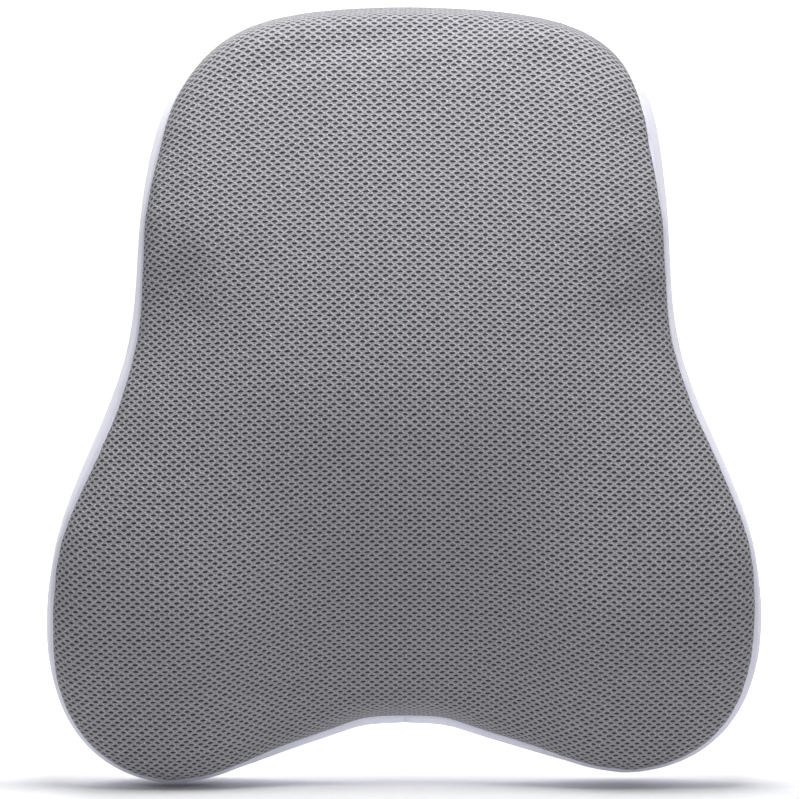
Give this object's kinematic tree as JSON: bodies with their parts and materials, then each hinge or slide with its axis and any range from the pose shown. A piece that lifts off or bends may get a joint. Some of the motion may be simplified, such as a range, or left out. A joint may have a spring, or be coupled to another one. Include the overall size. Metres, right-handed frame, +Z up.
{
  "type": "lumbar support cushion",
  "caption": "Bell-shaped foam lumbar cushion with a domed head, narrow waist and two rounded lobes, in a zipped mesh cover with two buckled straps behind.",
  "frame": {"origin": "middle of the flat back face, halfway up the cushion", "axes": "+X to the right seen from the front, front faces -Y, flat back faces +Y, +Z up"},
  "size_m": [0.3804, 0.1526, 0.4094],
  "materials": {
    "foam": "matt open-cell memory foam",
    "liner_knit": "thin matt knit",
    "grey_mesh": "matt 3-D spacer mesh with staggered lens-shaped slits",
    "white_cloth": "smooth matt laminated knit",
    "back_cloth": "matt tricot with small dots",
    "zip_tape": "woven tape",
    "zip_coil": "satin nylon",
    "zip_metal": "satin coated zinc",
    "label_satin": "smooth blank satin",
    "webbing": "ribbed elastic webbing",
    "buckle_plastic": "fine-textured acetal",
    "thread": "dense bar-tack thread"
  },
  "bodies": {
    "cushion": {"foam_core": "foam", "inner_liner": "liner_knit", "front_panel": "grey_mesh", "gusset_left": "white_cloth", "gusset_right": "white_cloth", "back_panel_upper": "back_cloth", "back_panel_lower": "back_cloth", "zip_tape_upper": "zip_tape", "zip_tape_lower": "zip_tape", "zip_coil_upper": "zip_coil", "zip_coil_lower": "zip_coil", "zip_stops": "zip_metal", "care_label": "label_satin", "strap_upper_short": "webbing", "strap_upper_long": "webbing", "strap_lower_short": "webbing", "strap_lower_long": "webbing", "buckle_upper_socket": "buckle_plastic", "buckle_lower_socket": "buckle_plastic", "strap_stitching": "thread"},
    "zip_slider": {"zip_slider": "zip_metal"},
    "zip_pull": {"zip_pull": "zip_metal"},
    "upper_plug": {"buckle_upper_plug": "buckle_plastic", "buckle_upper_arms": "buckle_plastic"},
    "upper_adjuster": {"adjuster_upper": "buckle_plastic"},
    "lower_plug": {"buckle_lower_plug": "buckle_plastic", "buckle_lower_arms": "buckle_plastic"},
    "lower_adjuster": {"adjuster_lower": "buckle_plastic"}
  },
  "joints": [
    {"name": "zip_slide", "type": "slide", "parent": "cushion", "child": "zip_slider", "axis": [-1, 0, 0], "range_m": [0, 0.29]},
    {"name": "zip_pull_flip", "type": "hinge", "parent": "zip_slider", "child": "zip_pull", "pos_m": [0.14633, 0.0025, -0.11], "axis": [0, 0, -1], "range_deg": [0, 175]},
    {"name": "upper_buckle_release", "type": "slide", "parent": "cushion", "child": "upper_plug", "axis": [1, 0, 0], "range_m": [0, 0.03], "deforming": ["strap_upper_long", "buckle_upper_arms"]},
    {"name": "upper_adjuster_slide", "type": "slide", "parent": "upper_plug", "child": "upper_adjuster", "axis": [1, 0, 0], "range_m": [0, 0.025]},
    {"name": "lower_buckle_release", "type": "slide", "parent": "cushion", "child": "lower_plug", "axis": [1, 0, 0], "range_m": [0, 0.03], "deforming": ["strap_lower_long", "buckle_lower_arms"]},
    {"name": "lower_adjuster_slide", "type": "slide", "parent": "lower_plug", "child": "lower_adjuster", "axis": [1, 0, 0], "range_m": [0, 0.05]}
  ]
}
